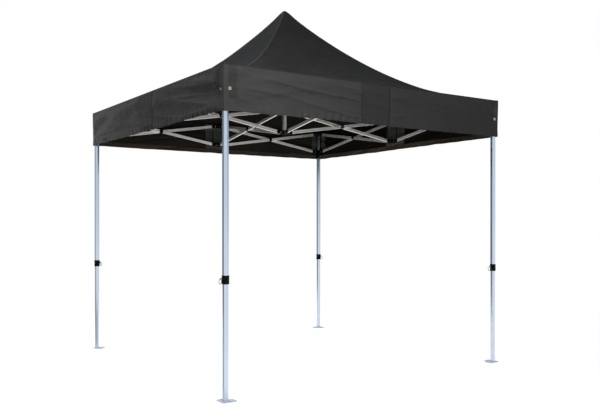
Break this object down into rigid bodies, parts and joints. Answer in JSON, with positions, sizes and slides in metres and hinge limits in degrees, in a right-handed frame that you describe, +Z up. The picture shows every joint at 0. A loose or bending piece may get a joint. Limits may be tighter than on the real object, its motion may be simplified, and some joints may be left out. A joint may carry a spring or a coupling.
{
  "type": "pop up canopy",
  "caption": "Square folding canopy with a peaked black fabric cover, a deep valance, a scissor truss, a sprung centre mast and telescoping hexagonal legs.",
  "frame": {"origin": "on the ground, at the middle of the four feet", "axes": "+Z up; X and Y run along the cover's sides"},
  "size_m": [3.002, 2.992, 3.488],
  "materials": {
    "black_polyester": "coated woven polyester, matte",
    "leg_aluminium": "satin anodised",
    "truss_aluminium": "satin extruded",
    "black_plastic": "moulded nylon",
    "pin_steel": "zinc-plated"
  },
  "bodies": {
    "hub_top_and_cover": {"hub_top": "black_plastic", "canopy": "black_polyester"},
    "arm_right_upper": {"arm_right_upper": "truss_aluminium"},
    "arm_right_lower": {"arm_right_lower": "truss_aluminium"},
    "middle_right_lower": {"middle_right_lower": "black_plastic"},
    "middle_right_upper": {"middle_right_upper": "black_plastic"},
    "hub_bottom_and_lower_mast": {"hub_bottom_with_lower_mast": "black_plastic"},
    "mast_upper": {"mast_upper_with_cap": "leg_aluminium"},
    "arm_back_upper": {"arm_back_upper": "truss_aluminium"},
    "arm_back_lower": {"arm_back_lower": "truss_aluminium"},
    "middle_back_lower": {"middle_back_lower": "black_plastic"},
    "middle_back_upper": {"middle_back_upper": "black_plastic"},
    "arm_left_upper": {"arm_left_upper": "truss_aluminium"},
    "arm_left_lower": {"arm_left_lower": "truss_aluminium"},
    "middle_left_lower": {"middle_left_lower": "black_plastic"},
    "middle_left_upper": {"middle_left_upper": "black_plastic"},
    "arm_front_upper": {"arm_front_upper": "truss_aluminium"},
    "arm_front_lower": {"arm_front_lower": "truss_aluminium"},
    "middle_front_lower": {"middle_front_lower": "black_plastic"},
    "middle_front_upper": {"middle_front_upper": "black_plastic"},
    "bar_right_a_rising": {"bar_right_a_rising": "truss_aluminium"},
    "bar_right_a_falling": {"bar_right_a_falling": "truss_aluminium"},
    "bar_right_b_rising": {"bar_right_b_rising": "truss_aluminium"},
    "bar_right_b_falling": {"bar_right_b_falling": "truss_aluminium"},
    "bar_back_a_rising": {"bar_back_a_rising": "truss_aluminium"},
    "bar_back_a_falling": {"bar_back_a_falling": "truss_aluminium"},
    "bar_back_b_rising": {"bar_back_b_rising": "truss_aluminium"},
    "bar_back_b_falling": {"bar_back_b_falling": "truss_aluminium"},
    "bar_left_a_rising": {"bar_left_a_rising": "truss_aluminium"},
    "bar_left_a_falling": {"bar_left_a_falling": "truss_aluminium"},
    "bar_left_b_rising": {"bar_left_b_rising": "truss_aluminium"},
    "bar_left_b_falling": {"bar_left_b_falling": "truss_aluminium"},
    "bar_front_a_rising": {"bar_front_a_rising": "truss_aluminium"},
    "bar_front_a_falling": {"bar_front_a_falling": "truss_aluminium"},
    "bar_front_b_rising": {"bar_front_b_rising": "truss_aluminium"},
    "bar_front_b_falling": {"bar_front_b_falling": "truss_aluminium"},
    "leg_back_right": {"leg_outer_back_right": "leg_aluminium", "collar_back_right": "black_plastic"},
    "slider_back_right": {"slider_back_right": "black_plastic"},
    "inner_leg_back_right": {"leg_inner_back_right": "leg_aluminium"},
    "height_pin_back_right": {"height_pin_back_right": "pin_steel"},
    "slider_pin_back_right": {"slider_pin_back_right": "pin_steel"},
    "leg_back_left": {"leg_outer_back_left": "leg_aluminium", "collar_back_left": "black_plastic"},
    "slider_back_left": {"slider_back_left": "black_plastic"},
    "inner_leg_back_left": {"leg_inner_back_left": "leg_aluminium"},
    "height_pin_back_left": {"height_pin_back_left": "pin_steel"},
    "slider_pin_back_left": {"slider_pin_back_left": "pin_steel"},
    "leg_front_left": {"leg_outer_front_left": "leg_aluminium", "collar_front_left": "black_plastic"},
    "slider_front_left": {"slider_front_left": "black_plastic"},
    "inner_leg_front_left": {"leg_inner_front_left": "leg_aluminium"},
    "height_pin_front_left": {"height_pin_front_left": "pin_steel"},
    "slider_pin_front_left": {"slider_pin_front_left": "pin_steel"},
    "leg_front_right": {"leg_outer_front_right": "leg_aluminium", "collar_front_right": "black_plastic"},
    "slider_front_right": {"slider_front_right": "black_plastic"},
    "inner_leg_front_right": {"leg_inner_front_right": "leg_aluminium"},
    "height_pin_front_right": {"height_pin_front_right": "pin_steel"},
    "slider_pin_front_right": {"slider_pin_front_right": "pin_steel"}
  },
  "joints": [
    {"name": "frame_fold", "type": "hinge", "parent": "hub_top_and_cover", "child": "arm_right_upper", "pos_m": [0.042, 0.009, 2.483], "axis": [0, 1, 0], "range_deg": [0, 78.4]},
    {"name": "cross_arm_right", "type": "hinge", "parent": "arm_right_upper", "child": "arm_right_lower", "pos_m": [0.7295, 0, 2.3725], "axis": [0, 1, 0], "range_deg": [-156.8, 0]},
    {"name": "pin_middle_right_lower", "type": "hinge", "parent": "arm_right_upper", "child": "middle_right_lower", "pos_m": [1.417, 0.009, 2.262], "axis": [0, 1, 0], "range_deg": [-78.4, 0]},
    {"name": "pin_middle_right_upper", "type": "hinge", "parent": "arm_right_lower", "child": "middle_right_upper", "pos_m": [1.417, -0.009, 2.483], "axis": [0, 1, 0], "range_deg": [0, 78.4]},
    {"name": "pin_hub_bottom", "type": "hinge", "parent": "arm_right_lower", "child": "hub_bottom_and_lower_mast", "pos_m": [0.042, -0.009, 2.262], "axis": [0, 1, 0], "range_deg": [0, 78.4]},
    {"name": "mast_extend", "type": "slide", "parent": "hub_bottom_and_lower_mast", "child": "mast_upper", "axis": [0, 0, 1], "range_m": [0, 0.26]},
    {"name": "fold_arm_back_upper", "type": "hinge", "parent": "hub_top_and_cover", "child": "arm_back_upper", "pos_m": [-0.009, 0.042, 2.483], "axis": [-1, 0, 0], "range_deg": [0, 78.4]},
    {"name": "cross_arm_back", "type": "hinge", "parent": "arm_back_upper", "child": "arm_back_lower", "pos_m": [0, 0.7295, 2.3725], "axis": [-1, 0, 0], "range_deg": [-156.8, 0]},
    {"name": "pin_middle_back_lower", "type": "hinge", "parent": "arm_back_upper", "child": "middle_back_lower", "pos_m": [-0.009, 1.417, 2.262], "axis": [-1, 0, 0], "range_deg": [-78.4, 0]},
    {"name": "pin_middle_back_upper", "type": "hinge", "parent": "arm_back_lower", "child": "middle_back_upper", "pos_m": [0.009, 1.417, 2.483], "axis": [-1, 0, 0], "range_deg": [0, 78.4]},
    {"name": "fold_arm_left_upper", "type": "hinge", "parent": "hub_top_and_cover", "child": "arm_left_upper", "pos_m": [-0.042, -0.009, 2.483], "axis": [0, -1, 0], "range_deg": [0, 78.4]},
    {"name": "cross_arm_left", "type": "hinge", "parent": "arm_left_upper", "child": "arm_left_lower", "pos_m": [-0.7295, 0, 2.3725], "axis": [0, -1, 0], "range_deg": [-156.8, 0]},
    {"name": "pin_middle_left_lower", "type": "hinge", "parent": "arm_left_upper", "child": "middle_left_lower", "pos_m": [-1.417, -0.009, 2.262], "axis": [0, -1, 0], "range_deg": [-78.4, 0]},
    {"name": "pin_middle_left_upper", "type": "hinge", "parent": "arm_left_lower", "child": "middle_left_upper", "pos_m": [-1.417, 0.009, 2.483], "axis": [0, -1, 0], "range_deg": [0, 78.4]},
    {"name": "fold_arm_front_upper", "type": "hinge", "parent": "hub_top_and_cover", "child": "arm_front_upper", "pos_m": [0.009, -0.042, 2.483], "axis": [1, 0, 0], "range_deg": [0, 78.4]},
    {"name": "cross_arm_front", "type": "hinge", "parent": "arm_front_upper", "child": "arm_front_lower", "pos_m": [0, -0.7295, 2.3725], "axis": [1, 0, 0], "range_deg": [-156.8, 0]},
    {"name": "pin_middle_front_lower", "type": "hinge", "parent": "arm_front_upper", "child": "middle_front_lower", "pos_m": [0.009, -1.417, 2.262], "axis": [1, 0, 0], "range_deg": [-78.4, 0]},
    {"name": "pin_middle_front_upper", "type": "hinge", "parent": "arm_front_lower", "child": "middle_front_upper", "pos_m": [-0.009, -1.417, 2.483], "axis": [1, 0, 0], "range_deg": [0, 78.4]},
    {"name": "pin_bar_right_a_rising", "type": "hinge", "parent": "middle_right_lower", "child": "bar_right_a_rising", "pos_m": [1.446, 0.034, 2.262], "axis": [-1, 0, 0], "range_deg": [-78.4, 0]},
    {"name": "pin_bar_right_a_falling", "type": "hinge", "parent": "middle_right_upper", "child": "bar_right_a_falling", "pos_m": [1.464, 0.034, 2.483], "axis": [-1, 0, 0], "range_deg": [0, 78.4]},
    {"name": "pin_bar_right_b_rising", "type": "hinge", "parent": "middle_right_lower", "child": "bar_right_b_rising", "pos_m": [1.446, -0.034, 2.262], "axis": [1, 0, 0], "range_deg": [-78.4, 0]},
    {"name": "pin_bar_right_b_falling", "type": "hinge", "parent": "middle_right_upper", "child": "bar_right_b_falling", "pos_m": [1.464, -0.034, 2.483], "axis": [1, 0, 0], "range_deg": [0, 78.4]},
    {"name": "pin_bar_back_a_rising", "type": "hinge", "parent": "middle_back_lower", "child": "bar_back_a_rising", "pos_m": [-0.034, 1.446, 2.262], "axis": [0, -1, 0], "range_deg": [-78.4, 0]},
    {"name": "pin_bar_back_a_falling", "type": "hinge", "parent": "middle_back_upper", "child": "bar_back_a_falling", "pos_m": [-0.034, 1.464, 2.483], "axis": [0, -1, 0], "range_deg": [0, 78.4]},
    {"name": "pin_bar_back_b_rising", "type": "hinge", "parent": "middle_back_lower", "child": "bar_back_b_rising", "pos_m": [0.034, 1.446, 2.262], "axis": [0, 1, 0], "range_deg": [-78.4, 0]},
    {"name": "pin_bar_back_b_falling", "type": "hinge", "parent": "middle_back_upper", "child": "bar_back_b_falling", "pos_m": [0.034, 1.464, 2.483], "axis": [0, 1, 0], "range_deg": [0, 78.4]},
    {"name": "pin_bar_left_a_rising", "type": "hinge", "parent": "middle_left_lower", "child": "bar_left_a_rising", "pos_m": [-1.446, -0.034, 2.262], "axis": [1, 0, 0], "range_deg": [-78.4, 0]},
    {"name": "pin_bar_left_a_falling", "type": "hinge", "parent": "middle_left_upper", "child": "bar_left_a_falling", "pos_m": [-1.464, -0.034, 2.483], "axis": [1, 0, 0], "range_deg": [0, 78.4]},
    {"name": "pin_bar_left_b_rising", "type": "hinge", "parent": "middle_left_lower", "child": "bar_left_b_rising", "pos_m": [-1.446, 0.034, 2.262], "axis": [-1, 0, 0], "range_deg": [-78.4, 0]},
    {"name": "pin_bar_left_b_falling", "type": "hinge", "parent": "middle_left_upper", "child": "bar_left_b_falling", "pos_m": [-1.464, 0.034, 2.483], "axis": [-1, 0, 0], "range_deg": [0, 78.4]},
    {"name": "pin_bar_front_a_rising", "type": "hinge", "parent": "middle_front_lower", "child": "bar_front_a_rising", "pos_m": [0.034, -1.446, 2.262], "axis": [0, 1, 0], "range_deg": [-78.4, 0]},
    {"name": "pin_bar_front_a_falling", "type": "hinge", "parent": "middle_front_upper", "child": "bar_front_a_falling", "pos_m": [0.034, -1.464, 2.483], "axis": [0, 1, 0], "range_deg": [0, 78.4]},
    {"name": "pin_bar_front_b_rising", "type": "hinge", "parent": "middle_front_lower", "child": "bar_front_b_rising", "pos_m": [-0.034, -1.446, 2.262], "axis": [0, -1, 0], "range_deg": [-78.4, 0]},
    {"name": "pin_bar_front_b_falling", "type": "hinge", "parent": "middle_front_upper", "child": "bar_front_b_falling", "pos_m": [-0.034, -1.464, 2.483], "axis": [0, -1, 0], "range_deg": [0, 78.4]},
    {"name": "pin_leg_back_right", "type": "hinge", "parent": "bar_right_a_rising", "child": "leg_back_right", "pos_m": [1.446, 1.409, 2.483], "axis": [-1, 0, 0], "range_deg": [0, 78.4]},
    {"name": "pin_slider_back_right", "type": "hinge", "parent": "bar_right_a_falling", "child": "slider_back_right", "pos_m": [1.464, 1.409, 2.262], "axis": [-1, 0, 0], "range_deg": [-78.4, 0]},
    {"name": "leg_height_back_right", "type": "slide", "parent": "leg_back_right", "child": "inner_leg_back_right", "axis": [0, 0, 1], "range_m": [0, 0.8]},
    {"name": "pull_height_pin_back_right", "type": "slide", "parent": "leg_back_right", "child": "height_pin_back_right", "axis": [1, 0, 0], "range_m": [0, 0.008], "stiffness_N_per_m": 1200, "springref_m": -0.003},
    {"name": "pull_slider_pin_back_right", "type": "slide", "parent": "slider_back_right", "child": "slider_pin_back_right", "axis": [0, -1, 0], "range_m": [0, 0.008], "stiffness_N_per_m": 1200, "springref_m": -0.003},
    {"name": "pin_leg_back_left", "type": "hinge", "parent": "bar_back_a_rising", "child": "leg_back_left", "pos_m": [-1.409, 1.446, 2.483], "axis": [0, -1, 0], "range_deg": [0, 78.4]},
    {"name": "pin_slider_back_left", "type": "hinge", "parent": "bar_back_a_falling", "child": "slider_back_left", "pos_m": [-1.409, 1.464, 2.262], "axis": [0, -1, 0], "range_deg": [-78.4, 0]},
    {"name": "leg_height_back_left", "type": "slide", "parent": "leg_back_left", "child": "inner_leg_back_left", "axis": [0, 0, 1], "range_m": [0, 0.8]},
    {"name": "pull_height_pin_back_left", "type": "slide", "parent": "leg_back_left", "child": "height_pin_back_left", "axis": [1, 0, 0], "range_m": [0, 0.008], "stiffness_N_per_m": 1200, "springref_m": -0.003},
    {"name": "pull_slider_pin_back_left", "type": "slide", "parent": "slider_back_left", "child": "slider_pin_back_left", "axis": [1, 0, 0], "range_m": [0, 0.008], "stiffness_N_per_m": 1200, "springref_m": -0.003},
    {"name": "pin_leg_front_left", "type": "hinge", "parent": "bar_left_a_rising", "child": "leg_front_left", "pos_m": [-1.446, -1.409, 2.483], "axis": [1, 0, 0], "range_deg": [0, 78.4]},
    {"name": "pin_slider_front_left", "type": "hinge", "parent": "bar_left_a_falling", "child": "slider_front_left", "pos_m": [-1.464, -1.409, 2.262], "axis": [1, 0, 0], "range_deg": [-78.4, 0]},
    {"name": "leg_height_front_left", "type": "slide", "parent": "leg_front_left", "child": "inner_leg_front_left", "axis": [0, 0, 1], "range_m": [0, 0.8]},
    {"name": "pull_height_pin_front_left", "type": "slide", "parent": "leg_front_left", "child": "height_pin_front_left", "axis": [-1, 0, 0], "range_m": [0, 0.008], "stiffness_N_per_m": 1200, "springref_m": -0.003},
    {"name": "pull_slider_pin_front_left", "type": "slide", "parent": "slider_front_left", "child": "slider_pin_front_left", "axis": [0, 1, 0], "range_m": [0, 0.008], "stiffness_N_per_m": 1200, "springref_m": -0.003},
    {"name": "pin_leg_front_right", "type": "hinge", "parent": "bar_front_a_rising", "child": "leg_front_right", "pos_m": [1.409, -1.446, 2.483], "axis": [0, 1, 0], "range_deg": [0, 78.4]},
    {"name": "pin_slider_front_right", "type": "hinge", "parent": "bar_front_a_falling", "child": "slider_front_right", "pos_m": [1.409, -1.464, 2.262], "axis": [0, 1, 0], "range_deg": [-78.4, 0]},
    {"name": "leg_height_front_right", "type": "slide", "parent": "leg_front_right", "child": "inner_leg_front_right", "axis": [0, 0, 1], "range_m": [0, 0.8]},
    {"name": "pull_height_pin_front_right", "type": "slide", "parent": "leg_front_right", "child": "height_pin_front_right", "axis": [-1, 0, 0], "range_m": [0, 0.008], "stiffness_N_per_m": 1200, "springref_m": -0.003},
    {"name": "pull_slider_pin_front_right", "type": "slide", "parent": "slider_front_right", "child": "slider_pin_front_right", "axis": [-1, 0, 0], "range_m": [0, 0.008], "stiffness_N_per_m": 1200, "springref_m": -0.003}
  ],
  "couplings": [
    {"joint": "cross_arm_right", "follows": "frame_fold", "ratio": -2},
    {"joint": "pin_middle_right_lower", "follows": "frame_fold", "ratio": -1},
    {"joint": "pin_middle_right_upper", "follows": "frame_fold", "ratio": 1},
    {"joint": "pin_hub_bottom", "follows": "frame_fold", "ratio": 1},
    {"joint": "mast_extend", "follows": "frame_fold", "m_per_rad": 0.18963},
    {"joint": "fold_arm_back_upper", "follows": "frame_fold", "ratio": 1},
    {"joint": "cross_arm_back", "follows": "frame_fold", "ratio": -2},
    {"joint": "pin_middle_back_lower", "follows": "frame_fold", "ratio": -1},
    {"joint": "pin_middle_back_upper", "follows": "frame_fold", "ratio": 1},
    {"joint": "fold_arm_left_upper", "follows": "frame_fold", "ratio": 1},
    {"joint": "cross_arm_left", "follows": "frame_fold", "ratio": -2},
    {"joint": "pin_middle_left_lower", "follows": "frame_fold", "ratio": -1},
    {"joint": "pin_middle_left_upper", "follows": "frame_fold", "ratio": 1},
    {"joint": "fold_arm_front_upper", "follows": "frame_fold", "ratio": 1},
    {"joint": "cross_arm_front", "follows": "frame_fold", "ratio": -2},
    {"joint": "pin_middle_front_lower", "follows": "frame_fold", "ratio": -1},
    {"joint": "pin_middle_front_upper", "follows": "frame_fold", "ratio": 1},
    {"joint": "pin_bar_right_a_rising", "follows": "frame_fold", "ratio": -1},
    {"joint": "pin_bar_right_a_falling", "follows": "frame_fold", "ratio": 1},
    {"joint": "pin_bar_right_b_rising", "follows": "frame_fold", "ratio": -1},
    {"joint": "pin_bar_right_b_falling", "follows": "frame_fold", "ratio": 1},
    {"joint": "pin_bar_back_a_rising", "follows": "frame_fold", "ratio": -1},
    {"joint": "pin_bar_back_a_falling", "follows": "frame_fold", "ratio": 1},
    {"joint": "pin_bar_back_b_rising", "follows": "frame_fold", "ratio": -1},
    {"joint": "pin_bar_back_b_falling", "follows": "frame_fold", "ratio": 1},
    {"joint": "pin_bar_left_a_rising", "follows": "frame_fold", "ratio": -1},
    {"joint": "pin_bar_left_a_falling", "follows": "frame_fold", "ratio": 1},
    {"joint": "pin_bar_left_b_rising", "follows": "frame_fold", "ratio": -1},
    {"joint": "pin_bar_left_b_falling", "follows": "frame_fold", "ratio": 1},
    {"joint": "pin_bar_front_a_rising", "follows": "frame_fold", "ratio": -1},
    {"joint": "pin_bar_front_a_falling", "follows": "frame_fold", "ratio": 1},
    {"joint": "pin_bar_front_b_rising", "follows": "frame_fold", "ratio": -1},
    {"joint": "pin_bar_front_b_falling", "follows": "frame_fold", "ratio": 1},
    {"joint": "pin_leg_back_right", "follows": "frame_fold", "ratio": 1},
    {"joint": "pin_slider_back_right", "follows": "frame_fold", "ratio": -1},
    {"joint": "pin_leg_back_left", "follows": "frame_fold", "ratio": 1},
    {"joint": "pin_slider_back_left", "follows": "frame_fold", "ratio": -1},
    {"joint": "pin_leg_front_left", "follows": "frame_fold", "ratio": 1},
    {"joint": "pin_slider_front_left", "follows": "frame_fold", "ratio": -1},
    {"joint": "pin_leg_front_right", "follows": "frame_fold", "ratio": 1},
    {"joint": "pin_slider_front_right", "follows": "frame_fold", "ratio": -1}
  ]
}
